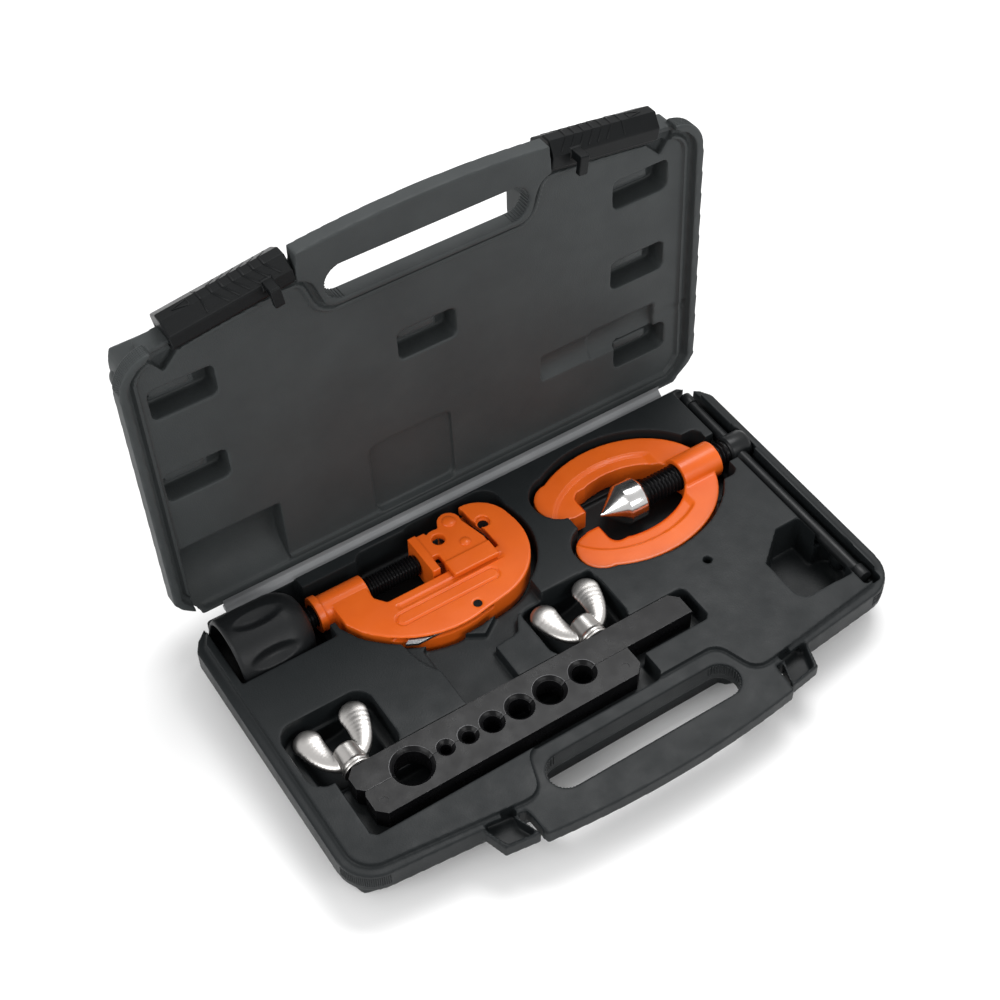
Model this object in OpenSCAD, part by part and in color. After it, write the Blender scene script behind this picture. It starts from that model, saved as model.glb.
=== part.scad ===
// Flaring and pipe-cutting kit: a hinged carry case with a tube cutter, a yoke with its flaring
// cone, and a two-part clamping bar.
// X runs along the case, Y from the handle (front) to the hinge (rear), Z up from the case's underside.

/* [Case] */
// Length of the case between its side walls
case_len = 279; // [277:1:284]
// Height of the base half, up to the parting face
base_h = 22; // [22:0.5:25]
// Height that the tray stands above the parting face
tray_raise = 2.3; // [2:0.1:2.6]
// Angle that the lid stands open at, from closed
lid_open = 93; // [90:1:110]
// Depth of the lid's inner panel behind the parting face
panel_depth = 4.6; // [4.4:0.2:5]
// Radius of the two front corners
corner_r = 17; // [14:1:18]

/* [Latches] */
// Length of each sliding latch
latch_len = 55; // [50:1:55]
// Slant of the front edge on each side of the handle
latch_slant = 8; // [6:0.5:8]

/* [Tube cutter] */
// Outer radius of the feed knob
knob_r = 18.5; // [17:0.5:18.5]
// Thread radius of the feed screw
feed_r = 5; // [4.5:0.5:5]
// Radius of the cutting wheel
wheel_r = 6.5; // [6:0.5:6.5]
// Radius of the two pipe rollers
roller_r = 5; // [4.5:0.5:5]

/* [Yoke] */
// Thread radius of the pressure screw
press_r = 6.5; // [6:0.5:6.5]
// Largest radius of the flaring cone
cone_r = 9.8; // [9:0.2:9.8]
// Radius of the sliding T-bar
tbar_r = 3.1; // [2.8:0.1:3.1]

/* [Clamping bar] */
// Height of the bar halves
bar_h = 11; // [10:0.5:11]
// Radius of the studs that the wing nuts ride on
stud_r = 3; // [2.5:0.5:3]
// Depth of the countersink at each tube hole
sink = 1.7; // [1.5:0.1:2]

/* [Hidden] */
$fn = 64;

charcoal = [0.20, 0.21, 0.22];
dark = [0.08, 0.08, 0.09];
orange = [0.93, 0.42, 0.14];
bright = [0.85, 0.85, 0.87];

half_len = case_len / 2;
fit = 0.06;              // radial clearance of a running fit
gap = 0.3;               // clearance between the case halves
tray_z = base_h + tray_raise;
lid_z = base_h + gap;    // the lid's parting face when closed
panel_z = base_h + panel_depth;
case_top = 2 * base_h;
under = 3;               // depth of the case below the drawing's zero height
wall_inset = 5;          // step from the rim band to the body below it
band_h = 11;             // height of the base's rim band
lid_band_h = 8;          // height of the lid's rim band
kit_at = [0.35, 0.6, -5.3];     // the cutter, the yoke and their pockets, from the case's middle
bar_at = [-1.2, -1.8, -2];      // the same for the clamping bar
rear_y = 88;             // rear wall
hinge_y = 90;            // hinge axis
tray_half = half_len - 4.7;
tray_rear = rear_y - 2;
front_y = -68.5;         // flange front edge beside the handle
handle_half = 63;        // half length of the handle on the base
handle_front = -86.5;    // handle's furthest point forward
handle_h = 7.5;          // thickness of the base's half of the handle
lid_handle = [59, -83.5];   // the same length and point on the lid, which is a little shorter
handle_bow = 480;        // radius of the handle's outer bow
latch_x = 60;            // inner end of the latches
catch_x = 62;            // inner end of the catches on the base
hook_x = [9, 13.5];      // hook, from the latch's inner end
slot_half = 48.5;        // hand slot
slot_y = [-70, -53];
lid_slot_y = [-66.5, -49.6];

cut_y = 66.5;            // feed screw axis
cut_z = 23.5;
frame_z = [17, 30];      // cutter frame's lower and upper faces
wheel_pos = [1.8, 66.5];
roller_x = -12;
roller_dy = 7;
cheek_hole = [-21.4, 67.3];
reamer_pos = [-25.3, 28.3];
blade_z = [27.1, 28.6];
pocket_gap = 3;          // room round the cutter frame in its pocket
yoke_gap = 2.2;          // the same round the yoke

yoke_c = [66, 43];       // yoke's centre
yoke_a = 46;             // half length and half width of its outside
yoke_b = 35.4;
hole_a = 30;             // the same for its opening
hole_b = 19.1;
yoke_z = [14.4, 26.4];
press_z = 24.4;
lobe = [39.5, 17.2, 11.6];   // arm end: x, distance from the axis, radius
boss_end = 115.5;
head_x = [122.5, 134.5];
tbar_x = 128;
tbar_y = [-52, 81.5];

bar_top = 27;
bar_z = bar_top - bar_h;
split_y = -25.2;
bevel = 4;               // cut corners of the bar halves
bar_y = [-39, -12];      // front and rear edges
front_x = [-114.5, 16.5];
rear_x = [-116, 51.5];
stud_x = [-109, 10];
stud_z = 21.5;
nut_y = -10.8;
wing_tip = [11.3, 23, 6.4];  // tip circle: x, y from the nut's seat, radius
wing_tilt = -9;          // how far the wings are turned from flat
// Tube holes: position along the bar and tube diameter
tube_holes = [
    [-91.1, 16], [-75.1, 5], [-64.1, 6], [-52.4, 8], [-38.7, 10], [-23.5, 12], [-6.7, 9.5]
];

// ---------- shared shapes

function arc(c, r, a0, a1, n = 10) =
    [for (i = [0:n]) let (a = a0 + (a1 - a0) * i / n) c + r * [cos(a), sin(a)]];
function oval(c, a, b, n = 64) = [for (i = [0:n - 1]) c + [a * cos(360 * i / n), b * sin(360 * i / n)]];
function round_rect(x, y, r, n = 6) = concat(
    arc([x[1] - r, y[0] + r], r, -90, 0, n), arc([x[1] - r, y[1] - r], r, 0, 90, n),
    arc([x[0] + r, y[1] - r], r, 90, 180, n), arc([x[0] + r, y[0] + r], r, 180, 270, n));
function flip(pts) = [for (i = [len(pts) - 1:-1:0]) [-pts[i][0], pts[i][1]]];
function both_sides(pts) = concat(pts, flip(pts));

module slab(z0, z1) translate([0, 0, z0]) linear_extrude(z1 - z0) children();
module block(x, y, z) translate([x[0], y[0], z[0]]) cube([x[1] - x[0], y[1] - y[0], z[1] - z[0]]);
module x_rod(x, y, z, r) translate([x[0], y, z]) rotate([0, 90, 0]) cylinder(h = x[1] - x[0], r = r);
module y_rod(y, x, z, r) translate([x, y[0], z]) rotate([-90, 0, 0]) cylinder(h = y[1] - y[0], r = r);
module z_rod(c, z, r) translate([c[0], c[1], z[0]]) cylinder(h = z[1] - z[0], r = r);
module x_turned(x, y, z) translate([x, y, z]) rotate([0, 90, 0]) rotate_extrude() children();
module pocket(z0, pts) slab(z0, tray_z + 8) polygon(pts);
module on_slant(side, x) mirror([side < 0 ? 1 : 0, 0, 0]) translate([x, front_y, 0])
    rotate([0, 0, latch_slant]) children();
module kit() translate(kit_at) children();
module bar_kit() translate(bar_at) children();
module placed() translate([0, 0, under]) children();   // onto the underside
module opened() translate([0, hinge_y, base_h]) rotate([-lid_open, 0, 0])
    translate([0, -hinge_y, -base_h]) children();

// ---------- case

// Right half of the outline at the parting face, from the handle's middle round to the rear
function outline_half(half, front) = concat(
    [for (i = [0:6]) let (x = half * i / 6) [x, front + x * x / (2 * handle_bow)]],
    [[half + 1, front_y + 0.2]], body_half(0));
function body_half(inset, rear = 0) = concat(
    arc([half_len - corner_r, -62.7 + corner_r], corner_r - inset, -90, 0, 8),
    [[half_len - inset, 75], [half_len - 3 - inset, 80 + inset / 2], [half_len - 12, rear_y - rear]]);
function tray_half_pts(g) = concat(
    [[0, -46 - g], [40 + g, -46 - g]], arc([43, -54], 8 - g, 90, 20, 4),
    arc([61, -57.5], 8 + g, 200, 270, 4), [[64, -65.3 - g]],
    arc([tray_half - 12.5, -45.8], 12.5 + g, -90, 0, 8),
    [[tray_half + g, 75], [tray_half - 4, 82 + g], [tray_half - 9, tray_rear + g]]);

module outline(half, front) polygon(both_sides(outline_half(half, front)));
module inner_outline() {
    pts = concat([[0, -49], [50, -49], [62, front_y + wall_inset]], body_half(wall_inset, 1));
    polygon(both_sides(pts));
}
module tray_shape(g = 0) polygon(both_sides(tray_half_pts(g)));
module hand_slot(y, z) slab(z[0], z[1])
    polygon(round_rect([-slot_half, slot_half], y, (y[1] - y[0]) / 2 - 0.01, 8));

module body() {
    difference() {
        slab(-under, base_h - band_h + 0.01) inner_outline();
        for (s = [-1, 1]) translate([s * (half_len - 8), 0, -under]) rotate([0, -s * 40, 0])
            block([-30, 30], [-100, 100], [-30, 0]);
        for (s = [-1, 1]) translate([0, s < 0 ? -52 : rear_y - 10, -under]) rotate([s * 50, 0, 0])
            block([-150, 150], [-30, 30], [-30, 0]);
    }
}

// Scoop on the front of the base that a latch's hook drops into
function scoop(g) = [[22.5 - g, 1], [16.5 - g, -11.5 + g], [0.5 + g, -11.5 + g], [7 + g, 1]];
module catch_box() slab(13.2, base_h - 1.5) polygon(scoop(0));
module catch_cuts() {
    slab(14.5, base_h + 1) polygon(scoop(1.5));
    block([6.2, 18.6], [-2.6, 3.4], [14.5, base_h - 3]);
    block([6.2, 12.3], [-0.1, 3.4], [14.5, base_h + 1]);
}

module cutter_pockets() {
    x_rod([-130.3, -85.5], cut_y, cut_z, knob_r + 0.7);
    block([-131.5, -85.5], [cut_y - knob_r - 0.6, cut_y + knob_r + 0.6], [cut_z, tray_z + 8]);
    block([-92, -55], [cut_y - 12, cut_y + 12], [12.5, tray_z + 8]);
    pocket(frame_z[0] - 0.3, frame_outline(pocket_gap));
    pocket(13, round_rect([-58, 2], [42, 82], 5));
    // The reamer blade's swing
    pocket(blade_z[0] - 0.4, concat([reamer_pos], arc(reamer_pos, 39, 168, 228, 12)));
    pocket(frame_z[0] - 0.3, round_rect([-34, 16], [54, 83.5], 8));
}

module yoke_pockets() {
    pocket(yoke_z[0] - 0.3, [for (p = oval(yoke_c, yoke_a + yoke_gap, yoke_b + yoke_gap))
        [max(p[0], 36), p[1]]]);
    for (s = [-1, 1])
        z_rod([lobe[0], yoke_c[1] + s * lobe[1]], [yoke_z[0] - 0.3, tray_z + 8], lobe[2] + yoke_gap);
    pocket(12.5, round_rect([36, 118], [yoke_c[1] - 16.5, yoke_c[1] + 16.5], 4));
    pocket(16.5, round_rect([112, 135.6], [yoke_c[1] - 9, yoke_c[1] + 9], 2));
    pocket(20, round_rect([tbar_x - 4.8, tbar_x + 4.8], [-57.5, 84.6], 2));
    pocket(13.2, round_rect([tbar_x - 5, tbar_x + 5], [45, 84.4], 1.2));
    pocket(8, concat(arc([101, -42], 7, 180, 260, 5), [[122.8, -49], [122.8, -11], [110, -11], [94, -24]]));
    pocket(8, round_rect([115, 133], [-44.5, -23.5], 8));
    z_rod([73.5, -7.8], [20, tray_z + 8], 2);
}

module bar_pockets() {
    pocket(bar_z - 0.3, round_rect([-121, 21.5], [-44.5, bar_y[1] + 0.3], 3));
    pocket(bar_z - 0.3, round_rect([10, 56.5], [split_y - 6, bar_y[1] + 0.3], 3));
    pocket(8, round_rect([-101, 2], [-33, -17.5], 4));
    pocket(14, round_rect([stud_x[0] - 21.5, stud_x[0] + 21.5], [-14, 21], 8));
    pocket(14, round_rect([stud_x[1] - 21.5, stud_x[1] + 18.6], [-14, 20], 8));
    for (x = stud_x) y_rod([-11.7, 19.4], x, stud_z, 18);
    pocket(20, [[-56, 24], [-56, -12.5], [-30.2, -12.5], [-30, 7], [-17.6, 8.2], [-13, 16], [2.4, 18.9],
        [3.1, 31], [-13, 27.5], [-28.5, 17], [-47.6, 28.5]]);
    pocket(23.2, [[-56, 33], [-47.6, 28.5], [-28.5, 17], [-13, 27.5], [-10, 33]]);
}

module case_base() color(charcoal) difference() {
    union() {
        intersection() {
            slab(base_h - band_h, base_h) outline(handle_half, handle_front);
            union() {
                block([-200, 200], [front_y - 0.2, 200], [0, base_h]);
                block([-200, 200], [-200, 0], [base_h - handle_h, base_h]);
            }
        }
        body();
        slab(base_h - 0.01, tray_z) tray_shape();
        for (side = [-1, 1]) on_slant(side, catch_x) catch_box();
    }
    hand_slot(slot_y, [base_h - band_h - 1, base_h + 1]);
    kit() cutter_pockets();
    kit() yoke_pockets();
    bar_kit() bar_pockets();
    for (side = [-1, 1]) on_slant(side, catch_x) catch_cuts();
}

module hinge_band() color(charcoal) union() {
    x_rod([-118.5, 118.5], hinge_y, base_h, 1.5);
    block([-118.5, 118.5], [rear_y, hinge_y], [base_h - 1.2, base_h - 0.1]);
}

// Rail with a T section along the lid's front, which keeps the latch on the lid
module latch_rail(g = 0) {
    block([-2, 66], [1.5 - g, 6], [29 - g, 34.5 + g]);
    block([-2, 66], [-1 - g, 1.6 + g], [26.5 - g, 37 + g]);
}
module latch_recess() {
    block([0, 64], [-25, 4.2], [base_h - 1, case_top + under + 1]);
    slab(base_h - 1, 31) polygon([[50.5, 4], [61, 12.5], [66, 2], [66, -1]]);
}

module kiss_off(x, y) slab(panel_z - 1, 38) polygon(round_rect([x, x + 29], [y, y + 15.5], 3));

module lid_cuts() {
    slab(base_h, panel_z) tray_shape(0.8);
    hand_slot(lid_slot_y, [base_h - 1, base_h + 13]);
    for (p = [[-127.6, -41], [-129.5, 4.5], [94, -44], [93, 0.5], [95, 49.5], [-17, -15]])
        kiss_off(p[0], p[1]);
    kit() {
        x_rod([-131, -82.5], cut_y, cut_z, knob_r + 1.8);
        slab(base_h, 34.4) polygon(round_rect([-37, 5], [41, 82], 4));
        x_rod([54, 81], yoke_c[1], press_z, cone_r + 0.9);
        x_rod([81, 117], yoke_c[1], press_z, cone_r + 1.7);
        x_rod([112, 135.2], yoke_c[1], press_z, 8);
    }
}

// Slope behind the lid's hand slot, which leaves the way through it clear
module slot_slope() translate([-52, 0, 0]) rotate([90, 0, 90]) linear_extrude(104)
    polygon([[-60, base_h + lid_band_h], [lid_slot_y[1], base_h + lid_band_h], [-30, case_top + under + 0.1],
        [-60, case_top + under + 0.1]]);

module case_lid() color(charcoal) opened() difference() {
    union() {
        difference() {
            union() {
                slab(lid_z, base_h + lid_band_h) outline(lid_handle[0], lid_handle[1]);
                translate([0, 0, case_top]) mirror([0, 0, 1]) body();
                slab(base_h + lid_band_h - 0.01, case_top - base_h + band_h) inner_outline();
            }
            slot_slope();
            for (side = [-1, 1]) on_slant(side, latch_x) latch_recess();
        }
        for (side = [-1, 1]) on_slant(side, latch_x) latch_rail();
    }
    lid_cuts();
}

// The latch slides along the lid's rail; its hook drops through the base's notch and then runs
// under the flange beside it.
module latch() difference() {
    union() {
        rotate([90, 0, 90]) linear_extrude(latch_len) polygon([[3.9, 25], [1.2, 25], [1.2, lid_z + 0.2],
            [-5, lid_z + 0.2], [-10.5, 27], [-10.5, 32], [-5, 40], [3.9, 40]]);
        block(hook_x, [-6.5, -2.4], [15.6, 24]);
        block(hook_x, [-2.5, 2.8], [15.6, 18.6]);
    }
    latch_rail(gap);
}
module latch_left() color(dark) opened() on_slant(-1, latch_x) latch();
module latch_right() color(dark) opened() on_slant(1, latch_x) latch();

// ---------- tube cutter

// The frame seen from above, grown by g for its pocket in the tray
function frame_outline(g = 0) = concat(
    arc([-2.5, 63.2], 16.8 + g, 93, 12, 8), arc([-16.5, 56.7], 31.7 + g, 4, -78, 12),
    arc([-35.5, 72], 49.8 + g, -76, -144, 10), [[-79.5 - g, 50], [-79.5 - g, 61], [-62 + g, 61]],
    g > 0 ? [] : [[-62, 56], [-58, 50.7], [0, 50.7], [0, 62], [-2.3, 70.5], [-2.6, 77]]);

module cutter_frame() color(orange) kit() difference() {
    union() {
        slab(frame_z[0], frame_z[1]) polygon(frame_outline());
        x_rod([-87, -61], cut_y, cut_z, 7.4);
        x_rod([-87, -83.5], cut_y, cut_z, 8.6);
        block([-79.5, -62], [56, cut_y], [frame_z[0], frame_z[1]]);
    }
    x_rod([-88, -60], cut_y, cut_z, feed_r + fit);
    block([-10, 10.5], [57, 81], [cut_z - 1.5, cut_z + 1.5]);
    z_rod(wheel_pos, [frame_z[0] - 1, frame_z[1] + 1], 2.5);
    z_rod(wheel_pos, [frame_z[1] - 2.2, frame_z[1] + 1], 3.2);
    block([-67, -19.5], [15, 33.5], [blade_z[0] - 0.3, blade_z[1] + 0.3]);
    z_rod(reamer_pos, [22, frame_z[1] + 1], 2);
}
module cutter_wheel() color(bright) kit() difference() {
    union() {
        z_rod(wheel_pos, [cut_z - 0.5, cut_z + 0.5], wheel_r);
        z_rod(wheel_pos, [cut_z - 1.3, cut_z + 1.3], 4);
    }
    z_rod(wheel_pos, [cut_z - 2, cut_z + 2], 2.5 + fit);
}
module wheel_pin() color(dark) kit() z_rod(wheel_pos, [frame_z[0], frame_z[1] - 2.6], 2.5);

function cheek() = concat(arc([roller_x, cut_y + roller_dy], 5.6, -20, 165, 8), [[-18.2, 73.2]],
    arc(cheek_hole, 6.2, 70, 240, 8), [[-26, 60], [-26, 52], [-3.2, 52], [-3.2, 58]]);
module cutter_carriage() color(orange) kit() difference() {
    union() {
        block([-26.5, -3.2], [44.8, 54], [frame_z[1] + gap, frame_z[1] + 3]);
        block([-26.5, -3.2], [44.8, 54], [frame_z[0] - 3, frame_z[0] - gap]);
        block([-26.5, -3.2], [51.1, 54], [frame_z[0] - 3, frame_z[1] + 3]);
        slab(28, 31.8) polygon(cheek());
        slab(15.2, 19) polygon(cheek());
        block([-33.5, -29.5], [52, 74.5], [14.6, 32.4]);
        block([-30, -25], [60, 74], [15.2, 19]);
        block([-30, -25], [60, 74], [28, 31.8]);
    }
    x_rod([-34, -28], cut_y, cut_z, 3 + fit);
    for (dy = [-roller_dy, roller_dy]) z_rod([roller_x, cut_y + dy], [14, 33], 1.8);
    z_rod(cheek_hole, [14, 33], 3.1);
}
module roller(dy) color(bright) kit() difference() {
    z_rod([roller_x, cut_y + dy], [19.3, 27.7], roller_r);
    z_rod([roller_x, cut_y + dy], [19, 28], 1.8 + fit);
    translate([roller_x, cut_y + dy, cut_z]) rotate_extrude()
        polygon([[roller_r - 0.8, 0], [roller_r + 1, -1.4], [roller_r + 1, 1.4]]);
}
module roller_front() roller(-roller_dy);
module roller_rear() roller(roller_dy);
module roller_pins() color(bright) kit() for (dy = [-roller_dy, roller_dy])
    z_rod([roller_x, cut_y + dy], [15.4, 31.6], 1.8);
module feed_screw() color(dark) kit() union() {
    x_rod([-102, -33.9], cut_y, cut_z, feed_r);
    x_rod([-34, -27], cut_y, cut_z, 3);
}
module feed_circlip() color(bright) kit() difference() {
    x_rod([-29.1, -28.2], cut_y, cut_z, 4.1);
    x_rod([-30, -27], cut_y, cut_z, 3);
}
module feed_knob() color(dark) kit() difference() {
    x_turned(-129.5, cut_y, cut_z) polygon([
        [feed_r, 37.5], [feed_r, 17], [15.4, 17], [16, 0], [knob_r - 0.8, 0], [knob_r, 0.8],
        [knob_r, 26], [knob_r - 1.5, 32], [13, 37.5]]);
    for (a = [0:60:300]) translate([-106, cut_y, cut_z]) rotate([a, 0, 0]) translate([0, 0, knob_r + 2.2])
        rotate([0, 90, 0]) cylinder(h = 22, r = 3.6, center = true);
}
module reamer_blade() color(bright) kit() difference() {
    slab(blade_z[0], blade_z[1]) union() {
        translate(reamer_pos) circle(r = 4);
        polygon([[-25.3, 24.4], [-25.3, 32.2], [-56, 31.2], [-63, 27.5], [-58, 24.8]]);
    }
    z_rod(reamer_pos, [26, 30], 2 + fit);
}
module reamer_pivot() color(dark) kit() z_rod(reamer_pos, [22, frame_z[1] - 0.4], 2);

// ---------- yoke with flaring cone

module yoke_shape() difference() {
    union() {
        intersection() {
            polygon(oval(yoke_c, yoke_a, yoke_b));
            translate([lobe[0], yoke_c[1] - 50]) square([100, 100]);
        }
        for (s = [-1, 1]) translate([lobe[0], yoke_c[1] + s * lobe[1]]) circle(r = lobe[2]);
    }
    intersection() {
        polygon(oval(yoke_c, hole_a, hole_b));
        translate([55, yoke_c[1] - 50]) square([100, 100]);
    }
    polygon(round_rect([46.5, 62], [yoke_c[1] - 17.4, yoke_c[1] + 17.4], 5));
    translate([30, yoke_c[1] - 5]) square([30, 10]);
}
module yoke_frame() color(orange) kit() difference() {
    union() {
        slab(yoke_z[0], yoke_z[1]) yoke_shape();
        x_rod([94, boss_end], yoke_c[1], press_z, 9);
    }
    x_rod([90, boss_end + 1], yoke_c[1], press_z, press_r + fit);
}
module flaring_cone() color(bright) kit() difference() {
    x_turned(51, yoke_c[1], press_z) polygon([
        [0, 0], [cone_r, 12], [cone_r, 20.5], [cone_r - 1.2, 22], [0, 22]]);
    x_rod([61, 74], yoke_c[1], press_z, 3 + fit);
}
module cone_washer() color(dark) kit() difference() {
    x_rod([73.1, 73.9], yoke_c[1], press_z, 5.2);
    x_rod([73, 75], yoke_c[1], press_z, 3);
}
module press_screw() color(dark) kit() union() {
    x_rod([62, 74.1], yoke_c[1], press_z, 3);
    x_rod([74, head_x[0] + 0.5], yoke_c[1], press_z, press_r);
}
module screw_head() color(dark) kit() difference() {
    x_turned(head_x[0], yoke_c[1], press_z) polygon([
        [0, 0.5], [6.2, 0.5], [7, 1.6], [7, 10.4], [6.2, 12], [0, 12]]);
    y_rod([yoke_c[1] - 8, yoke_c[1] + 8], tbar_x, press_z, tbar_r + fit);
}
module t_bar() color(dark) kit() y_rod([tbar_y[0] + 6, tbar_y[1] - 6], tbar_x, press_z, tbar_r);
module t_bar_end_front() color(dark) kit() y_rod([tbar_y[0], tbar_y[0] + 6], tbar_x, press_z, tbar_r + 0.7);
module t_bar_end_rear() color(dark) kit() y_rod([tbar_y[1] - 6, tbar_y[1]], tbar_x, press_z, tbar_r + 0.7);

// ---------- clamping bar

module tube_hole_cuts() for (h = tube_holes) translate([h[0], split_y, 0]) {
    z_rod([0, 0], [bar_z - 1, bar_top + 1], h[1] / 2);
    translate([0, 0, bar_top - sink]) cylinder(h = sink + 1, r1 = h[1] / 2, r2 = h[1] / 2 + sink + 1);
}
module bar_half(y, cuts) difference() {
    slab(bar_z, bar_top) polygon(cuts);
    tube_hole_cuts();
    for (sx = stud_x) y_rod([y[0] - 1, y[1] + 1], sx, stud_z, stud_r + fit);
}
module bar_rear() color(dark) bar_kit() bar_half([split_y, bar_y[1]], [
    [rear_x[0], split_y + 3], [rear_x[0] + 3, split_y + 0.1], [rear_x[1], split_y + 0.1],
    [rear_x[1], bar_y[1] - bevel], [rear_x[1] - bevel, bar_y[1]],
    [rear_x[0] + bevel, bar_y[1]], [rear_x[0], bar_y[1] - bevel]]);
module bar_front() color(dark) bar_kit() difference() {
    bar_half([split_y - 11, split_y], [
        [front_x[0], bar_y[0] + bevel], [front_x[0] + bevel, bar_y[0]], [front_x[1] - bevel, bar_y[0]],
        [front_x[1], bar_y[0] + bevel], [front_x[1], split_y - 0.1], [front_x[0] + 1, split_y - 0.1],
        [front_x[0], split_y - 2]]);
    for (sx = stud_x) z_rod([sx, -33], [bar_z - 1, bar_top + 1], 1.8);
}
module stud(sx) color(dark) bar_kit() difference() {
    y_rod([split_y - 11.9, 2], sx, stud_z, stud_r);
    z_rod([sx, -33], [bar_z - 1, bar_top + 1], 1.8);
}
module stud_left() stud(stud_x[0]);
module stud_right() stud(stud_x[1]);
module stud_pins() color(dark) bar_kit() for (sx = stud_x) z_rod([sx, -33], [bar_z, bar_top - 0.2], 1.8);
module washer(sx) color(bright) bar_kit() difference() {
    y_rod([bar_y[1], nut_y], sx, stud_z, 6.7);
    y_rod([bar_y[1] - 1, nut_y + 1], sx, stud_z, stud_r + 0.3);
}
module washer_left() washer(stud_x[0]);
module washer_right() washer(stud_x[1]);
module wing_nut(sx) color(bright) bar_kit() difference() {
    translate([sx, nut_y, stud_z]) rotate([0, wing_tilt, 0]) union() {
        y_rod([0, 11.5], 0, 0, 6);
        y_rod([0, 2], 0, 0, 6.7);
        for (s = [0, 1]) mirror([s, 0, 0]) slab(-1.8, 1.8) {
            translate([wing_tip[0], wing_tip[1]]) circle(r = wing_tip[2]);
            polygon([[2, 1], [7, 1.5], [14.5, 13], [17.4, 21], [5, 21.6], [6, 14], [4.5, 9], [2, 8]]);
        }
    }
    y_rod([nut_y - 1, nut_y + 13], sx, stud_z, stud_r + fit);
}
module wing_nut_left() wing_nut(stud_x[0]);
module wing_nut_right() wing_nut(stud_x[1]);

placed() case_base();
placed() hinge_band();
placed() case_lid();
placed() latch_left();
placed() latch_right();
placed() cutter_frame();
placed() cutter_wheel();
placed() wheel_pin();
placed() cutter_carriage();
placed() roller_front();
placed() roller_rear();
placed() roller_pins();
placed() feed_screw();
placed() feed_circlip();
placed() feed_knob();
placed() reamer_blade();
placed() reamer_pivot();
placed() yoke_frame();
placed() flaring_cone();
placed() cone_washer();
placed() press_screw();
placed() screw_head();
placed() t_bar();
placed() t_bar_end_front();
placed() t_bar_end_rear();
placed() bar_rear();
placed() bar_front();
placed() stud_left();
placed() stud_right();
placed() stud_pins();
placed() wing_nut_left();
placed() wing_nut_right();
placed() washer_left();
placed() washer_right();
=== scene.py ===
import math

import bmesh
import bpy
import numpy as np
from mathutils import Matrix, Vector


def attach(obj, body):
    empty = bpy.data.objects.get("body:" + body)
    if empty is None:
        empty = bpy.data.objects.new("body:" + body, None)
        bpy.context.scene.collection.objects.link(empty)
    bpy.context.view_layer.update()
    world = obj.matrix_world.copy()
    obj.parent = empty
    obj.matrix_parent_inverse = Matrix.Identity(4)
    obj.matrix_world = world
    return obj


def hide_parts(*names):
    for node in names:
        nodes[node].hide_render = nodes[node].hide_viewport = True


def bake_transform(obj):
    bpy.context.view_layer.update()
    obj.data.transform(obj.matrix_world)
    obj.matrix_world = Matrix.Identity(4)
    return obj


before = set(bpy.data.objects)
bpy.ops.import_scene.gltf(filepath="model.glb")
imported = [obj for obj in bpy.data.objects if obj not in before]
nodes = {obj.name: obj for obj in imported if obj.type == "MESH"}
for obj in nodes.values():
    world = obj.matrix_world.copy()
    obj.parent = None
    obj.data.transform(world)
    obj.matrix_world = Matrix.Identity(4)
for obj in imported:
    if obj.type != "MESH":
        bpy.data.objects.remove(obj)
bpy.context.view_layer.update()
MM = 0.001

# ---------------------------------------------------------------- places, in millimetres
KIT = Vector((0.35, 0.6, -2.3))    # the cutter and the yoke, from the case's middle
BAR = Vector((-1.2, -1.8, 1.0))    # the clamping bar
HINGE = Vector((0, 90, 25))
OPEN_DEG = 93
HALF_LEN = 139.5
TRAY_HALF = 134.8                  # half length of the raised tray
CORNER_R = 17                      # front corners of the case
CASE_TOP = 50                      # height of the closed case
LATCH_X, LATCH_SLANT = 60, 8       # the latches' inner end, and their slant in degrees
SLOT_HALF = 48.5                   # half length of the hand slots
BASE_SLOT_Y, LID_SLOT_Y = (-70, -53), (-66.5, -49.6)
LID_POCKETS = ((-127.6, -41), (-129.5, 4.5), (94, -44), (93, 0.5), (95, 49.5), (-17, -15))
RIM_Z, PANEL_Z = 25.3, 29.6        # the lid's parting face and inner panel, closed
FRONT_Y = -68.5
CUT_Y, CUT_Z = 66.5, 23.5
YOKE_C = (66.0, 43.0)
PRESS_Z = 24.4
BAR_TOP = 27.0
STUD_X, STUD_Z, NUT_Y = (-109.0, 10.0), 21.5, -10.8
WING_TILT = -9
TUBE_HOLES = ((-91.1, 16), (-75.1, 5), (-64.1, 6), (-52.4, 8), (-38.7, 10), (-23.5, 12), (-6.7, 9.5))
OPENED = (Matrix.Translation(HINGE) @ Matrix.Rotation(math.radians(-OPEN_DEG), 4, "X")
          @ Matrix.Translation(-HINGE))
AT_KIT = Matrix.Translation(KIT)
AT_BAR = Matrix.Translation(BAR)


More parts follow.
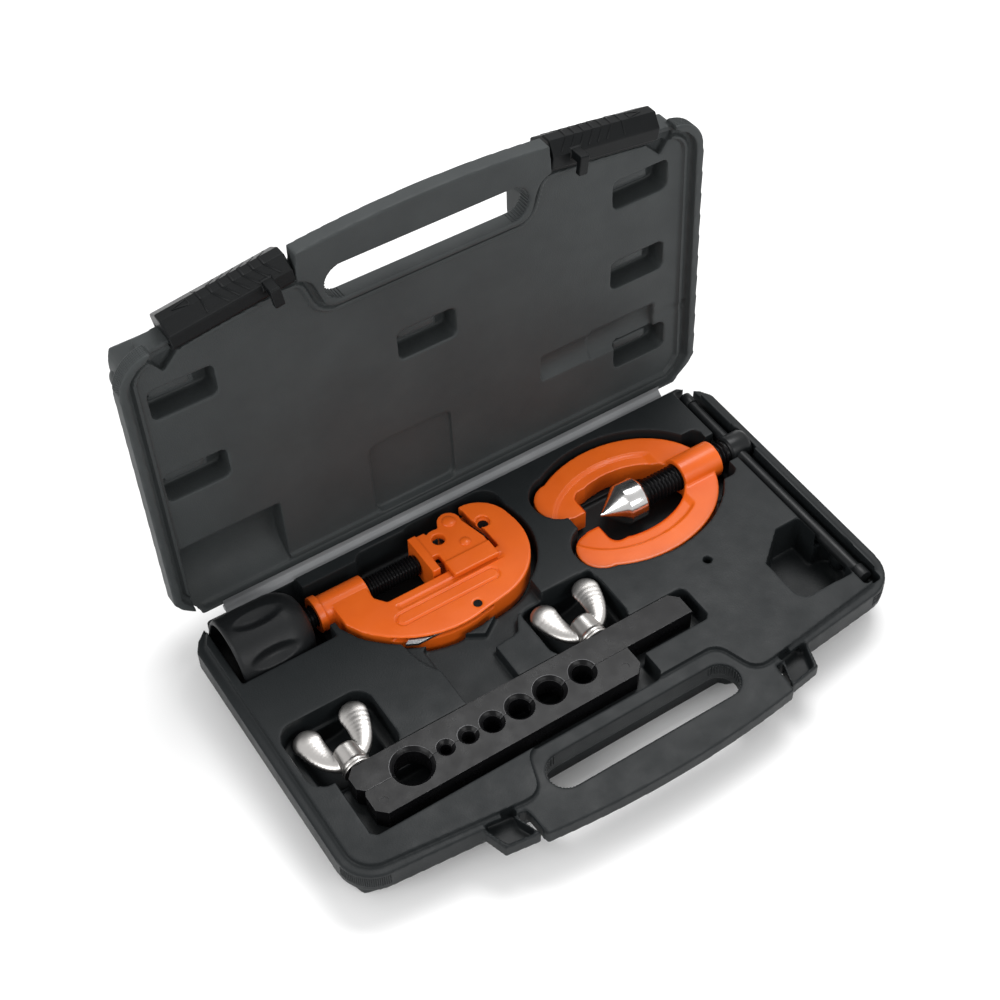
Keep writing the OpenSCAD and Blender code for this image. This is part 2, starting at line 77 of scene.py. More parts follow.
# ---------------------------------------------------------------- materials
class Nodes:
    """A small writer for one material's node tree."""

    def __init__(self, name):
        self.mat = bpy.data.materials.new(name)
        self.mat.use_nodes = True
        self.tree = self.mat.node_tree
        self.bsdf = self.tree.nodes["Principled BSDF"]
        self.at = self.tree.nodes.new("ShaderNodeTexCoord").outputs["Object"]

    def link(self, a, b):
        self.tree.links.new(a, b)

    def noise(self, scale, detail=3.0, rough=0.5, stretch=None):
        n = self.tree.nodes.new("ShaderNodeTexNoise")
        n.inputs["Scale"].default_value = scale
        n.inputs["Detail"].default_value = detail
        n.inputs["Roughness"].default_value = rough
        at = self.at
        if stretch:
            m = self.tree.nodes.new("ShaderNodeMapping")
            m.inputs["Scale"].default_value = stretch
            self.link(at, m.inputs["Vector"])
            at = m.outputs["Vector"]
        self.link(at, n.inputs["Vector"])
        return n.outputs["Fac"]

    def cells(self, scale):
        n = self.tree.nodes.new("ShaderNodeTexVoronoi")
        n.inputs["Scale"].default_value = scale
        self.link(self.at, n.inputs["Vector"])
        return n.outputs["Distance"]

    def span(self, fac, lo, hi, a=0.3, b=0.7):
        n = self.tree.nodes.new("ShaderNodeMapRange")
        for key, v in (("From Min", a), ("From Max", b), ("To Min", lo), ("To Max", hi)):
            n.inputs[key].default_value = v
        self.link(fac, n.inputs["Value"])
        return n.outputs["Result"]

    def tint(self, fac, a, b):
        n = self.tree.nodes.new("ShaderNodeMix")
        n.data_type = "RGBA"
        n.inputs["A"].default_value = (*a, 1)
        n.inputs["B"].default_value = (*b, 1)
        self.link(self.span(fac, 0, 1), n.inputs["Factor"])
        self.link(n.outputs["Result"], self.bsdf.inputs["Base Color"])

    def rough(self, fac, lo, hi):
        self.link(self.span(fac, lo, hi), self.bsdf.inputs["Roughness"])

    def bumps(self, *layers):
        """Each layer is a height, its strength and its depth in millimetres."""
        last = None
        for fac, strength, depth in layers:
            n = self.tree.nodes.new("ShaderNodeBump")
            n.inputs["Strength"].default_value = strength
            n.inputs["Distance"].default_value = depth * MM
            self.link(fac, n.inputs["Height"])
            if last:
                self.link(last, n.inputs["Normal"])
            last = n.outputs["Normal"]
        self.link(last, self.bsdf.inputs["Normal"])


def moulded(name, dark, light, rough, grain, wave=0.08, specular=0.4):
    n = Nodes(name)
    n.tint(n.noise(28, 5, 0.6), dark, light)
    n.rough(n.noise(90, 4), *rough)
    n.bumps((n.noise(22, 2), wave, 0.6), (n.cells(1500), grain, 0.12), (n.noise(2600, 2), grain, 0.08))
    n.bsdf.inputs["Specular IOR Level"].default_value = specular
    return n.mat


def enamel(name, dark, light):
    n = Nodes(name)
    n.tint(n.noise(45, 4), dark, light)
    n.rough(n.noise(120, 3), 0.30, 0.40)
    n.bumps((n.noise(160, 3), 0.22, 0.3), (n.noise(700, 2), 0.10, 0.08))
    n.bsdf.inputs["Specular IOR Level"].default_value = 0.3
    n.bsdf.inputs["Coat Weight"].default_value = 0.15
    n.bsdf.inputs["Coat Roughness"].default_value = 0.16
    return n.mat


def metal(name, dark, light, rough, brushed=None, depth=0.05, fine=900, metallic=1.0, specular=0.5):
    n = Nodes(name)
    n.tint(n.noise(70, 5, 0.6), dark, light)
    n.rough(n.noise(150, 4), *rough)
    n.bumps((n.noise(60, 2), 0.10, 0.15), (n.noise(fine, 3, 0.5, brushed), 0.35, depth))
    n.bsdf.inputs["Metallic"].default_value = metallic
    n.bsdf.inputs["Specular IOR Level"].default_value = specular
    return n.mat


# The base and the lid are the same moulded plastic: the base's colour is painted darker as shade, and the
# lid's lighter as light.
TRAY_SHADED = moulded("tray_plastic_shaded", (0.008, 0.010, 0.011), (0.012, 0.014, 0.015), (0.40, 0.52), 0.24,
               specular=0.2)
LID_LIT = moulded("lid_plastic_lit", (0.032, 0.036, 0.037), (0.041, 0.046, 0.047), (0.52, 0.62), 0.36,
              specular=0.25)
# Light grey for the hinge strip: a painted highlight along the sloped strip.
BAND_HIGHLIGHT = moulded("hinge_plastic_highlight", (0.14, 0.145, 0.15), (0.20, 0.205, 0.21), (0.40, 0.52), 0.15)
LATCH = moulded("latch_plastic", (0.003, 0.0035, 0.004), (0.005, 0.006, 0.0065), (0.34, 0.44), 0.16,
                specular=0.15)
KNOB = moulded("knob_plastic", (0.006, 0.007, 0.0075), (0.009, 0.010, 0.011), (0.40, 0.50), 0.28,
               specular=0.25)
ORANGE = enamel("orange_enamel", (0.68, 0.105, 0.007), (0.75, 0.128, 0.010))
OXIDE = metal("black_oxide", (0.003, 0.003, 0.0035), (0.006, 0.006, 0.0065), (0.24, 0.34), metallic=0.0,
              specular=0.14)
# Brighter, more metallic black for the bars' bevels: painted highlights along their edges.
EDGE_HIGHLIGHT = metal("oxide_edge_highlight", (0.05, 0.05, 0.052), (0.14, 0.14, 0.145), (0.28, 0.40), fine=400, metallic=0.8)
CAST = metal("black_cast", (0.005, 0.006, 0.0065), (0.010, 0.011, 0.012), (0.32, 0.44), depth=0.10,
             fine=500, metallic=0.0, specular=0.25)
ZINC = metal("bright_zinc", (0.56, 0.54, 0.52), (0.66, 0.64, 0.62), (0.30, 0.38), fine=260, depth=0.02)
TURNED = metal("turned_zinc", (0.66, 0.65, 0.64), (0.80, 0.79, 0.78), (0.14, 0.22), (40, 1, 1), 0.015)
STEEL = metal("tool_steel", (0.24, 0.25, 0.26), (0.36, 0.37, 0.38), (0.28, 0.40), (1, 1, 30))


# ---------------------------------------------------------------- mesh helpers
def piece(name, mesh, body, mats, stands_for=(), smooth=35):
    """Adds a mesh whose vertices are in metres as a piece on a body."""
    ob = bpy.data.objects.new(name, mesh)
    bpy.context.scene.collection.objects.link(ob)
    mesh.materials.clear()
    for m in mats:
        mesh.materials.append(m)
    shade(mesh, smooth)
    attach(ob, body)
    if stands_for:
        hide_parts(*stands_for)
    return ob


def shade(mesh, angle):
    """Smooth shading, with edges sharper than the angle kept sharp."""
    bm = bmesh.new()
    bm.from_mesh(mesh)
    for f in bm.faces:
        f.smooth = True
    for e in bm.edges:
        e.smooth = len(e.link_faces) != 2 or e.calc_face_angle(0) < math.radians(angle)
    bm.to_mesh(mesh)
    bm.free()


def to_mesh(name, bm, place=None):
    """A mesh in metres from a bmesh in millimetres."""
    if place is not None:
        bm.transform(place)
    bm.transform(Matrix.Scale(MM, 4))
    bmesh.ops.recalc_face_normals(bm, faces=bm.faces)
    mesh = bpy.data.meshes.new(name)
    bm.to_mesh(mesh)
    bm.free()
    return mesh


def evaluated(mesh, *steps):
    """The mesh after a stack of modifiers, each a type and its settings."""
    ob = bpy.data.objects.new("work", mesh)
    bpy.context.scene.collection.objects.link(ob)
    for kind, settings in steps:
        m = ob.modifiers.new(kind, kind)
        for key, v in settings.items():
            setattr(m, key, v)
    graph = bpy.context.evaluated_depsgraph_get()
    out = bpy.data.meshes.new_from_object(ob.evaluated_get(graph))
    bpy.data.objects.remove(ob)
    return out


def rounded(node, voxel, rounds, change=None, keep=1.0):
    """A CAD node's shape with soft moulded or cast edges; change edits its points in millimetres."""
    voxel *= 1.0
    mesh = evaluated(nodes[node].data.copy(), ("WELD", {"merge_threshold": 1e-5}),
                     ("REMESH", {"mode": "VOXEL", "voxel_size": voxel * MM}),
                     ("SMOOTH", {"iterations": rounds, "factor": 0.5}))
    if change:
        pts = points(mesh)
        set_points(mesh, change(pts))
    if keep < 1:
        mesh = evaluated(mesh, ("DECIMATE", {"ratio": keep}))
    return mesh


def points(mesh):
    co = np.empty(len(mesh.vertices) * 3, np.float32)
    mesh.vertices.foreach_get("co", co)
    return co.reshape(-1, 3).astype(float) / MM


def set_points(mesh, pts):
    mesh.vertices.foreach_set("co", (pts * MM).astype(np.float32).ravel())
    mesh.update()


def moved(pts, m):
    a = np.array(m)
    return pts @ a[:3, :3].T + a[:3, 3]


def step(x, lo, hi):
    t = np.clip((x - lo) / (hi - lo), 0, 1)
    return t * t * (3 - 2 * t)


def grid_faces(bm, rings, closed=True):
    """Faces between rings of the same number of vertices."""
    n = len(rings[0])
    for a, b in zip(rings, rings[1:]):
        for i in range(n if closed else n - 1):
            bm.faces.new((a[i], a[(i + 1) % n], b[(i + 1) % n], b[i]))


def around_x(points_xr, n, shape=None):
    """A turned body about X from (x, radius) pairs; shape(x, angle, radius) may change the radius."""
    bm = bmesh.new()
    rings = []
    for x, r in points_xr:
        ring = []
        for i in range(n):
            a = 2 * math.pi * i / n
            q = shape(x, a, r) if shape else r
            ring.append(bm.verts.new((x, q * math.sin(a), q * math.cos(a))))
        rings.append(ring)
    grid_faces(bm, rings)
    bm.faces.new(rings[0])
    bm.faces.new(rings[-1])
    return bm


def threaded(x0, x1, r, root, pitch, n=40, ends=()):
    """A threaded rod about X, with plain turned steps (x, radius) past its far end."""
    pts = [(x0, root * 0.86)]
    count = int((x1 - x0) / pitch * 8)
    pts += [(x0 + (x1 - x0) * (i + 0.5) / count, r) for i in range(count)]
    if not ends:
        pts.append((x1, root * 0.86))

    def shape(x, a, q):
        if q != r:
            return q
        t = (x / pitch - a / (2 * math.pi)) % 1.0
        crest = min(1.0, max(0.0, 1.25 - 3.1 * abs(t - 0.5)))
        fade = min(1.0, (x - x0) / pitch, (x1 - x) / pitch)
        return root + (r - root) * crest * max(0.0, fade)

    return around_x(pts + list(ends), n, shape)


def box_bm(lo, hi, bevel=0.0, segments=3, bm=None):
    bm = bm or bmesh.new()
    size = Vector(hi) - Vector(lo)
    mid = (Vector(hi) + Vector(lo)) / 2
    made = bmesh.ops.create_cube(bm, size=1, matrix=Matrix.Translation(mid) @ Matrix.Diagonal((*size, 1)))
    if bevel:
        edges = list({e for v in made["verts"] for e in v.link_edges})
        bmesh.ops.bevel(bm, geom=edges, offset=bevel, segments=segments, affect="EDGES", profile=0.5)
    return bm


def ellipsoid(bm, at, size, u=24, v=14):
    bmesh.ops.create_uvsphere(bm, u_segments=u, v_segments=v, radius=1,
                              matrix=Matrix.Translation(at) @ Matrix.Diagonal((*size, 1)))


def dress(node, mat, bevel=0.0, angle=30, highlight_edge=None, segments=2):
    """Gives a CAD node its material, and with a bevel also soft edges; a second material on the bevel
    faces paints bright highlights along them.
    """
    ob = nodes[node]
    ob.data.materials.clear()
    ob.data.materials.append(mat)
    if highlight_edge:
        ob.data.materials.append(highlight_edge)
    if bevel:
        w = ob.modifiers.new("weld", "WELD")
        w.merge_threshold = 1e-5
        b = ob.modifiers.new("bevel", "BEVEL")
        b.width = bevel * MM
        b.segments = segments
        b.limit_method = "ANGLE"
        b.angle_limit = math.radians(angle)
        b.harden_normals = True
        # the bevel faces get the painted edge-highlight material
        if highlight_edge:
            b.material = 1


# ---------------------------------------------------------------- case
def tray_edge():
    """Right half of the tray's outline, front middle to rear middle."""
    def arc(cx, cy, r, a0, a1, n):
        return [(cx + r * math.cos(math.radians(a0 + (a1 - a0) * i / n)),
                 cy + r * math.sin(math.radians(a0 + (a1 - a0) * i / n))) for i in range(n + 1)]
    half = [(0, -46), (40, -46)] + arc(43, -54, 8, 90, 20, 4) + arc(61, -57.5, 8, 200, 270, 4)
    half += [(64, -65.3)] + arc(TRAY_HALF - 12.5, -45.8, 12.5, -90, 0, 8)
    half += [(TRAY_HALF, 75), (TRAY_HALF - 4, 82), (TRAY_HALF - 9, 86)]
    return half + [(-x, y) for x, y in reversed(half)]


def edge_distance(x, y, outline):
    """How far points lie inside a closed outline; below zero outside it."""
    best = np.full(x.shape, 1e9)
    inside = np.zeros(x.shape, bool)
    for (ax, ay), (bx, by) in zip(outline, outline[1:] + outline[:1]):
        dx, dy = bx - ax, by - ay
        if dx * dx + dy * dy < 1e-9:
            continue
        t = np.clip(((x - ax) * dx + (y - ay) * dy) / (dx * dx + dy * dy), 0, 1)
        best = np.minimum(best, np.hypot(x - ax - t * dx, y - ay - t * dy))
        cross = ((ay > y) != (by > y)) & (x < ax + (y - ay) * dx / (dy if dy else 1e-9))
        inside ^= cross
    return np.where(inside, best, -best)


def lid_beads(pts):
    """The raised bead round the lid's panel."""
    c = moved(pts, OPENED.inverted())
    flat = np.abs(c[:, 2] - PANEL_Z) < 0.5
    d = edge_distance(c[:, 0], c[:, 1], tray_edge())
    rise = 1.5 * step(d, 1.4, 2.4) * (1 - step(d, 3.6, 4.6))
    c[:, 2] -= np.where(flat, rise, 0)
    return moved(c, OPENED)


piece("base_shell", rounded("case_base", 0.62, 5, keep=0.6), "case_base", [TRAY_SHADED],
      ("case_base",))
piece("lid_shell", rounded("case_lid", 0.62, 5, lid_beads, 0.6), "lid", [LID_LIT],
      ("case_lid",))
# The hinge band is coloured light grey as a painted highlight.
dress("hinge_band", BAND_HIGHLIGHT, 0.4)


def film_hinge():
    """The moulded film between the two halves, as a thin curved sheet from base to lid."""
    line = ((86.3, 25.12), (87.6, 25.2), (88.3, 25.6), (88.8, 26.2), (89.4, 26.75), (90.0, 27.2),
            (90.2, 28.0), (90.2, 29.8))
    bm = bmesh.new()
    rings = []
    for i in range(60):
        x = -118.4 + 236.8 * i / 59
        upper = [bm.verts.new((x, y, z)) for y, z in line]
        lower = [bm.verts.new((x, y + 0.2, z - 0.2)) for y, z in reversed(line)]
        rings.append(upper + lower)
    grid_faces(bm, rings)
    bm.faces.new(rings[0])
    bm.faces.new(rings[-1])
    return bm


film = bpy.data.objects.new("hinge_film", to_mesh("hinge_film", film_hinge()))
bpy.context.scene.collection.objects.link(film)
# The film takes the light grey painted as the hinge strip's highlight.
film.data.materials.append(BAND_HIGHLIGHT)
shade(film.data, 50)
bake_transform(film)

# Ridges moulded across the lid's six small pockets
bm = bmesh.new()
for x, y in LID_POCKETS:
    box_bm((x + 1.0, y + 1.0, 32.0), (x + 19, y + 5.4, 41.4), 0.9, 3, bm)
    box_bm((x + 1.0, y + 4.6, 35.2), (x + 22, y + 9.6, 41.4), 1.1, 3, bm)
piece("lid_pocket_ridges", to_mesh("lid_pocket_ridges", bm, OPENED), "lid", [LID_LIT])


def wall_ribs(bm, flip):
    """Round ribs on the outside of the case's end walls."""
    for side in (-1, 1):
        for i in range(10):
            y = -42 + 12.6 * i
            at = Vector((side * 133.4, y, CASE_TOP - 8.2 if flip else 8.2))
            ellipsoid(bm, at, (3.2, 4.6, 5.6), 20, 12)


bm = bmesh.new()
wall_ribs(bm, False)
piece("base_ribs", to_mesh("base_ribs", bm), "case_base", [TRAY_SHADED])
bm = bmesh.new()
wall_ribs(bm, True)
piece("lid_ribs", to_mesh("lid_ribs", bm, OPENED), "lid", [LID_LIT])


def slot_grip(slot_y, z0, z1):
    """Fine upright grip ribs on the rounded ends of a hand slot."""
    bm = bmesh.new()
    r = (slot_y[1] - slot_y[0]) / 2
    for side in (-1, 1):
        centre = Vector((side * (SLOT_HALF - r), sum(slot_y) / 2, 0))
        for i in range(19):
            a = math.radians(-88 + 176 * i / 18)
            at = centre + Vector((side * math.cos(a), math.sin(a), 0)) * r
            middle = Matrix.Translation(at + Vector((0, 0, (z0 + z1) / 2)))
            bmesh.ops.create_cone(bm, cap_ends=True, segments=8, radius1=0.5, radius2=0.5,
                                  depth=z1 - z0, matrix=middle)
    return bm


piece("base_slot_grip", to_mesh("base_slot_grip", slot_grip(BASE_SLOT_Y, 18.5, 24)), "case_base",
      [TRAY_SHADED])
piece("lid_slot_grip", to_mesh("lid_slot_grip", slot_grip(LID_SLOT_Y, 26.3, 32.2), OPENED), "lid",
      [LID_LIT])


def corner_knurl(z0, z1):
    """Small pyramids on the two front corners' edges."""
    bm = bmesh.new()
    r = 16.9
    for side in (-1, 1):
        centre = (side * (HALF_LEN - CORNER_R), -45.7)
        for i in range(26):
            a = math.radians(-84 + 74 * i / 25)
            for j in range(int((z1 - z0) / 1.05)):
                at = Vector((centre[0] + side * r * math.cos(a), centre[1] + r * math.sin(a),
                             z0 + 1.05 * (j + 0.5)))
                turn = Matrix.Rotation(a if side > 0 else math.pi - a, 4, "Z")
                m = (Matrix.Translation(at) @ turn @ Matrix.Rotation(math.pi / 2, 4, "Y")
                     @ Matrix.Rotation(math.pi / 4, 4, "Z"))
                bmesh.ops.create_cone(bm, cap_ends=True, segments=4, radius1=0.62, radius2=0.12,
                                      depth=0.7, matrix=m)
    return bm


piece("lid_corner_grip", to_mesh("lid_corner_grip", corner_knurl(26, 32.8), OPENED), "lid",
      [LID_LIT], smooth=10)
piece("base_corner_grip", to_mesh("base_corner_grip", corner_knurl(17.2, 24)), "case_base",
      [TRAY_SHADED], smooth=10)


# Latches: the CAD covers with soft edges, and moulded arrows on their slanted faces
for node in ("latch_left", "latch_right"):
    dress(node, LATCH, 0.7, 25, segments=3)


def strip(bm, a, b, normal, width, height):
    """A low bar from a to b on a face with that normal."""
    a, b, up = Vector(a), Vector(b), Vector(normal).normalized()
    along = (b - a).normalized()
    across = up.cross(along)
    m = Matrix((along, across, up)).transposed().to_4x4()
    m.translation = (a + b) / 2
    size = ((b - a).length, width, height)
    made = bmesh.ops.create_cube(bm, size=1, matrix=m @ Matrix.Diagonal((*size, 1)))
    edges = list({e for v in made["verts"] for e in v.link_edges})
    bmesh.ops.bevel(bm, geom=edges, offset=min(width, height) * 0.3, segments=2, affect="EDGES",
                    profile=0.5)


def latch_marks():
    """Six chevrons, a dividing line and an outlined triangle across the cover's front faces."""
    bm = bmesh.new()
    low, ridge = Vector((0, -5, RIM_Z + 0.2)), Vector((0, -10.5, 30))
    mid, top = Vector((0, -10.5, 35)), Vector((0, -5, 43))
    faces = (((ridge, low), Vector((0, -0.65, -0.76))), ((mid, top), Vector((0, -0.82, 0.57))))
    for i in range(6):
        x = 4.5 + 4.6 * i
        for (start, end), normal in faces:
            a = start.lerp(end, 0.0) + Vector((x + 4.4, 0, 0))
            b = start.lerp(end, 0.84) + Vector((x, 0, 0))
            strip(bm, a, b, normal, 1.0, 0.5)
        strip(bm, Vector((x + 4.4, -10.5, 29.8)), Vector((x + 4.4, -10.5, 35.2)), (0, -1, 0), 1.0, 0.5)
    strip(bm, Vector((37, -10.5, 30.0)), Vector((37, -10.5, 35.0)), (0, -1, 0), 0.8, 0.5)
    for (start, end), normal in faces:
        across = Vector((37, 0, 0))
        strip(bm, start + across, start.lerp(end, 0.84) + across, normal, 0.8, 0.5)
    tip = Vector((48.5, -10.5, 32.5))
    corners = (Vector((41.5, -10.5, 30.6)), Vector((41.5, -10.5, 34.4)))
    for a, b in ((tip, corners[0]), (corners[0], corners[1]), (corners[1], tip)):
        strip(bm, a, b, (0, -1, 0), 0.6, 0.5)
    return bm


for side, name in ((-1, "left"), (1, "right")):
    place = Matrix.Translation((LATCH_X, FRONT_Y, 0)) @ Matrix.Rotation(math.radians(LATCH_SLANT), 4, "Z")
    if side < 0:
        place = Matrix.Diagonal((-1, 1, 1, 1)) @ place
    piece("latch_arrows_" + name, to_mesh("latch_arrows_" + name, latch_marks(), OPENED @ place),
          "latch_" + name, [LATCH])


# ---------------------------------------------------------------- tube cutter
def cutter_top(pts):
    """The frame's sunk rail and the outline of the plate in front of it."""
    k = pts - np.array(KIT)
    top = step(k[:, 2], 28.6, 29.4)
    x, y = k[:, 0], k[:, 1]
    px = np.clip(x, -57, -11)
    plate = np.hypot(x - px, y - 38.8)
    ring = step(plate, 2.4, 2.9) * (1 - step(plate, 3.3, 3.8))
    rail = step(y, 43.6, 44.6) * (1 - step(y, 46.2, 47.2)) * step(x, -57, -54) * (1 - step(x, -4, 0))
    pts[:, 2] -= top * (0.55 * ring + 0.8 * rail)
    return pts


piece("cutter_casting", rounded("cutter_frame", 0.42, 5, cutter_top, 0.8), "cutter",
      [ORANGE], ("cutter_frame",))
piece("carriage_casting", rounded("cutter_carriage", 0.38, 4), "carriage", [ORANGE],
      ("cutter_carriage",))
for node, mat, bevel in (("cutter_wheel", STEEL, 0.1), ("wheel_pin", OXIDE, 0.3),
                         ("roller_front", STEEL, 0.3), ("roller_rear", STEEL, 0.3),
                         ("roller_pins", ZINC, 0.35), ("feed_circlip", ZINC, 0.1),
                         ("reamer_blade", STEEL, 0.15), ("reamer_pivot", OXIDE, 0.3)):
    dress(node, mat, bevel)

# Domed heads over the roller pins
bm = bmesh.new()
for dy, r in ((7.0, 3.3), (-7.0, 2.6)):
    ellipsoid(bm, (-12, CUT_Y + dy, 31.7), (r, r, 1.2), 28, 16)
piece("carriage_pin_heads", to_mesh("carriage_pin_heads", bm, AT_KIT), "carriage",
      [ORANGE], smooth=60)

at_feed = AT_KIT @ Matrix.Translation((0, CUT_Y, CUT_Z))
screw = threaded(-102, -33.9, 5, 4.1, 1.5, ends=((-33.9, 4.0), (-33.9, 3.0), (-27.5, 3.0), (-27.0, 2.6)))
piece("feed_thread", to_mesh("feed_thread", screw, at_feed), "feed", [OXIDE],
      ("feed_screw",))

# Feed knob: a barrel with long oval dimples and an open end
KNOB_X = -129.5
OUTER = [(0.0, 16.9), (0.35, 17.5), (0.9, 17.95), (1.8, 18.2)]
OUTER += [(1.8 + 24.6 * i / 40, 18.2 + 0.25 * math.sin(math.pi * i / 40)) for i in range(1, 41)]
OUTER += [(28.5, 17.85), (30.3, 17.3), (32, 16.5), (33.8, 15.4), (35.4, 14.1), (36.6, 12.6),
          (37.3, 10.8), (37.5, 5.2)]
INNER = [(37.4, 5.05), (17.5, 5.05), (17.05, 5.6), (17.0, 14.9), (16.6, 15.4), (8, 15.7), (0.8, 16.0),
         (0.2, 16.3)]


def dimples(x, a, r):
    if r < 16.6 or x > 33 or x < 1:
        return r
    turn = (math.degrees(a) % 60 + 30) % 60 - 30
    across = math.radians(turn) * r / 4.6
    along = (x - 16.2) / 11.8
    d = 1 - along * along - across * across
    return r - 3.0 * max(0.0, d) ** 1.15


knob = bmesh.new()
rings = []
COUNT = 180
for x, r in OUTER + INNER:
    ring = []
    for i in range(COUNT):
        a = 2 * math.pi * i / COUNT
        q = dimples(x, a, r) if (x, r) in OUTER else r
        ring.append(knob.verts.new((KNOB_X + x, -q * math.sin(a), q * math.cos(a))))
    rings.append(ring)
grid_faces(knob, rings + [rings[0]])
piece("feed_grip", to_mesh("feed_grip", knob, at_feed), "feed", [KNOB],
      ("feed_knob",), 50)


# ---------------------------------------------------------------- yoke
def yoke_top(pts):
    """The yoke's top steps down towards its opening."""
    k = pts - np.array(KIT)
    top = step(k[:, 2], 25.0, 25.8)
    e = np.hypot((k[:, 0] - YOKE_C[0]) / 36.5, (k[:, 1] - YOKE_C[1]) / 25.2)
    inner = 1 - step(e, 0.965, 1.03)
    arms = 1 - step(k[:, 0], 88, 92)
    pts[:, 2] -= top * inner * arms * 1.5
    return pts


piece("yoke_casting", rounded("yoke_frame", 0.45, 7, yoke_top, 0.8), "yoke", [ORANGE],
      ("yoke_frame",))
at_press = AT_KIT @ Matrix.Translation((0, YOKE_C[1], PRESS_Z))
screw = threaded(74, 123, 6.5, 5.45, 2, 48)
rod = around_x([(62, 3.0), (74.3, 3.0)], 32)
rod_mesh = bpy.data.meshes.new("rod")
rod.to_mesh(rod_mesh)
screw.from_mesh(rod_mesh)
rod.free()
piece("press_thread", to_mesh("press_thread", screw, at_press), "press", [OXIDE],
      ("press_screw",))
dress("flaring_cone", TURNED, 0.15, 20)
dress("cone_washer", OXIDE, 0.15)
dress("screw_head", CAST, 0.5)
dress("t_bar", CAST)
dress("t_bar_end_front", CAST, 0.9)
dress("t_bar_end_rear", CAST, 0.9)


# ---------------------------------------------------------------- clamping bar
# The bars' bevels take the brighter metal as painted edge highlights.
for node in ("bar_rear", "bar_front"):
    dress(node, OXIDE, 0.25, 30, EDGE_HIGHLIGHT)
for node in ("washer_left", "washer_right"):
    dress(node, ZINC, 0.15)
dress("stud_pins", OXIDE, 0.3)
for x, name in zip(STUD_X, ("left", "right")):
    stud = threaded(-37.1, 2, 3, 2.45, 1.25, 32)
    place = AT_BAR @ Matrix.Translation((x, 0, STUD_Z)) @ Matrix.Rotation(math.pi / 2, 4, "Z")
    piece("stud_thread_" + name, to_mesh("stud_thread_" + name, stud, place), "clamp_front",
          [OXIDE], ("stud_" + name,))

# Wing nuts: a tapered hub and two thick rounded wings, grown together
for x, name in zip(STUD_X, ("left", "right")):
    nut = around_x([(0.05, 6.3), (0.5, 6.65), (1.7, 6.65), (2.3, 6.2), (6, 5.9), (10.8, 5.6),
                    (11.4, 5.1)], 40)
    bmesh.ops.transform(nut, matrix=Matrix.Rotation(math.pi / 2, 4, "Z"), verts=nut.verts)
    for s in (-1, 1):
        for i in range(13):
            t = i / 12
            at = ((1 - t) ** 2 * 3.4 + 2 * t * (1 - t) * 10.2 + t * t * 11.3,
                  (1 - t) ** 2 * 4.6 + 2 * t * (1 - t) * 8.4 + t * t * 23.0)
            wide = 3.3 + 3.2 * t ** 1.4
            bow = 0.5 * s * math.sin(math.pi * t)
            ellipsoid(nut, (s * at[0], at[1], bow), (wide, wide, 2.6 - 0.5 * t))
    mesh = to_mesh("nut", nut)
    mesh = evaluated(mesh, ("REMESH", {"mode": "VOXEL", "voxel_size": 0.3 * MM}),
                     ("SMOOTH", {"iterations": 8, "factor": 0.5}))
    place = (AT_BAR @ Matrix.Translation((x, NUT_Y, STUD_Z))
             @ Matrix.Rotation(math.radians(WING_TILT), 4, "Y"))
    set_points(mesh, moved(points(mesh), place))
    piece("wing_nut_cast_" + name, mesh, "nut_" + name, [ZINC], ("wing_nut_" + name,), 60)


def stamped(text, x, y, size, turn=0.0):
    """Generic size numbers on the bar's top, as slightly raised digits."""
    curve = bpy.data.curves.new("digits", "FONT")
    curve.body = text
    curve.size = size * MM
    curve.extrude = 0.06 * MM
    curve.align_x = "CENTER"
    curve.align_y = "CENTER"
    ob = bpy.data.objects.new("digits", curve)
    bpy.context.scene.collection.objects.link(ob)
    graph = bpy.context.evaluated_depsgraph_get()
    mesh = bpy.data.meshes.new_from_object(ob.evaluated_get(graph))
    bpy.data.objects.remove(ob)
    at = (Vector((x, y, BAR_TOP)) + BAR) * MM
    mesh.transform(Matrix.Translation(at) @ Matrix.Rotation(turn, 4, "Z"))
    return mesh


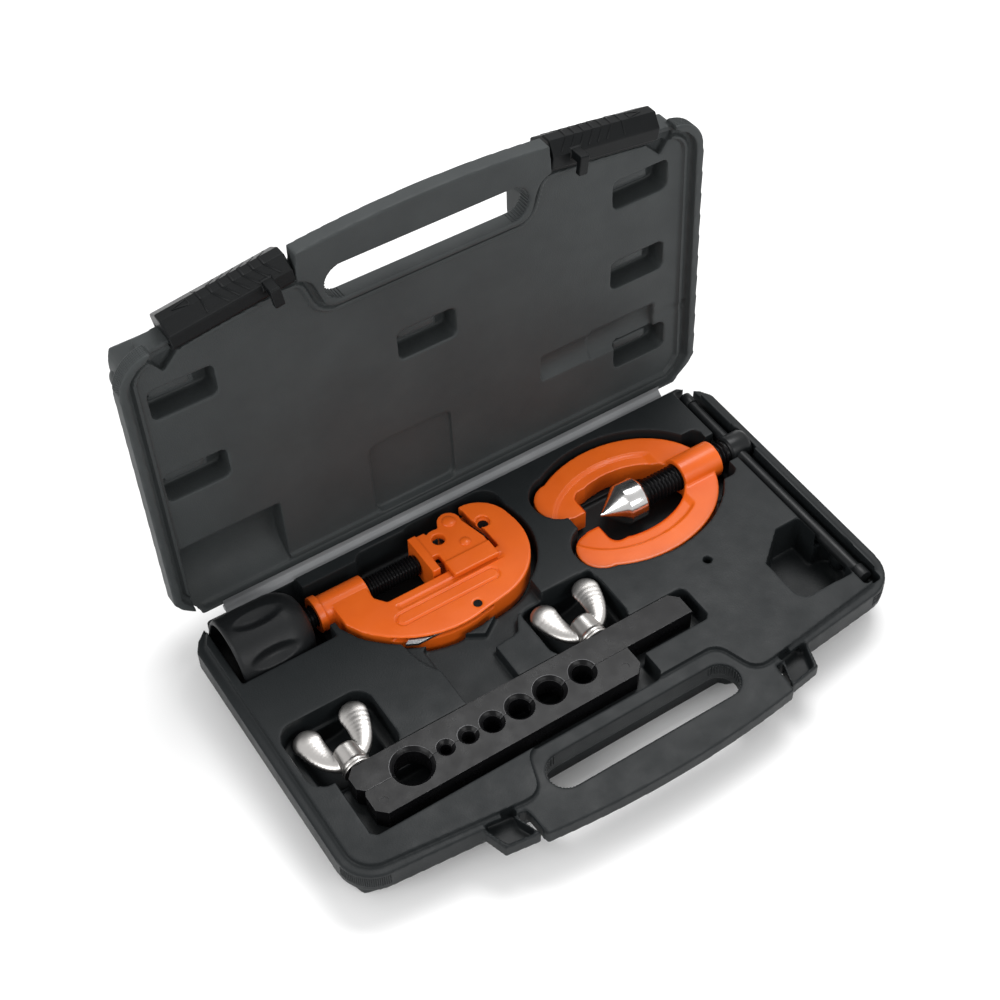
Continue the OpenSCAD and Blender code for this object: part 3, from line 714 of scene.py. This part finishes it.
for x, size in TUBE_HOLES:
    label = "size_" + str(size).replace(".", "_")
    piece(label, stamped(f"{size:g}", x - 1.0, -15.2, 3.6), "clamp_rear", [CAST],
          smooth=20)

# ---------------------------------------------------------------- camera, floor and light
scene = bpy.context.scene
cam = bpy.data.objects.new("camera", bpy.data.cameras.new("camera"))
scene.collection.objects.link(cam)
cam.data.lens = 64.15
cam.data.sensor_width = 36
cam.location = (-0.2708, -0.3792, 0.6491)
look = Vector((0.0157, 0.07345, 0.0275)) - cam.location
cam.rotation_mode = "QUATERNION"
cam.rotation_quaternion = (look.to_track_quat("-Z", "Y").to_matrix().to_4x4()
                           @ Matrix.Rotation(math.radians(-1.01), 4, "Z")).to_quaternion()
scene.camera = cam

floor_mesh = bpy.data.meshes.new("floor")
bm = bmesh.new()
bmesh.ops.create_grid(bm, x_segments=1, y_segments=1, size=4)
bm.to_mesh(floor_mesh)
bm.free()
floor = bpy.data.objects.new("floor", floor_mesh)
scene.collection.objects.link(floor)
pale = bpy.data.materials.new("pale_floor")
pale.use_nodes = True
pale.node_tree.nodes["Principled BSDF"].inputs["Base Color"].default_value = (0.92, 0.92, 0.92, 1)
pale.node_tree.nodes["Principled BSDF"].inputs["Roughness"].default_value = 0.9
floor_mesh.materials.append(pale)


def soft_box(name, at, aim, size, power):
    light = bpy.data.lights.new(name, "AREA")
    light.shape = "RECTANGLE"
    light.size, light.size_y = size
    light.energy = power
    ob = bpy.data.objects.new(name, light)
    scene.collection.objects.link(ob)
    ob.location = at
    ob.rotation_euler = (Vector(aim) - Vector(at)).to_track_quat("-Z", "Y").to_euler()


soft_box("key", (0.5, 0.5, 1.4), (0, 0, 0), (0.9, 0.6), 14)
soft_box("side", (-1.3, -0.1, 0.8), (0, 0, 0.05), (0.8, 0.5), 7)
soft_box("front", (0.3, -1.3, 0.9), (0, 0.05, 0.08), (1.0, 0.4), 7)
world = bpy.data.worlds.new("studio")
scene.world = world
world.use_nodes = True
world.node_tree.nodes["Background"].inputs["Color"].default_value = (1, 1, 1, 1)
world.node_tree.nodes["Background"].inputs["Strength"].default_value = 0.72
scene.view_settings.view_transform = "Standard"
